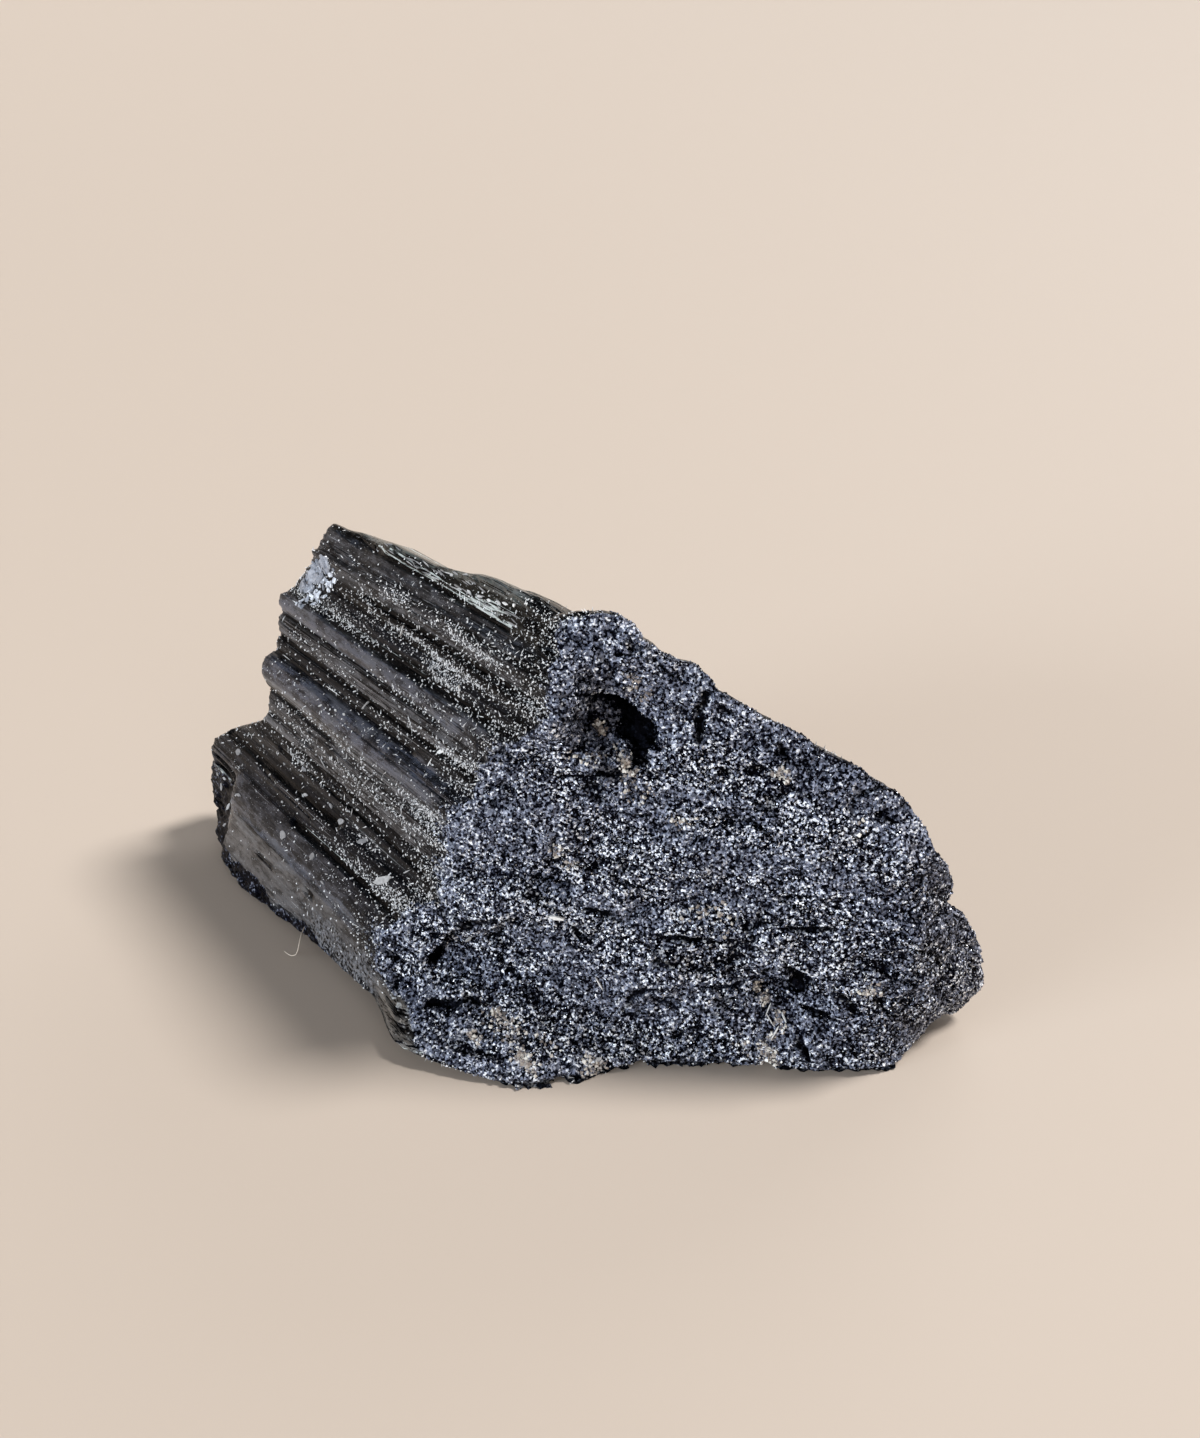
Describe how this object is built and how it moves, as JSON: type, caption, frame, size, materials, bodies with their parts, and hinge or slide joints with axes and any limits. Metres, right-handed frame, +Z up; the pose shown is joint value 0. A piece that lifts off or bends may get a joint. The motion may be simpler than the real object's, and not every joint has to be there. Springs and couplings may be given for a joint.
{
  "type": "black tourmaline crystal",
  "caption": "Broken, ribbed prism of black tourmaline lying on a prism face, with a wide grainy break across its near end and a ragged break at the far end.",
  "frame": {"origin": "middle of the bounding box's floor; the crystal rests on the plane Z = 0", "axes": "+X is the longest side of the box, to the right of a viewer who faces the grainy break; +Y is away from that viewer, and the prism runs along +Y turned 35 degrees towards -X; +Z is up"},
  "size_m": [0.076, 0.05, 0.0389],
  "materials": {
    "schorl": "glossy black ribbed sides under a brownish dust film, and a sugary blue-black broken face with fine glints"
  },
  "bodies": {
    "root": {"tourmaline_crystal": "schorl"}
  },
  "joints": []
}
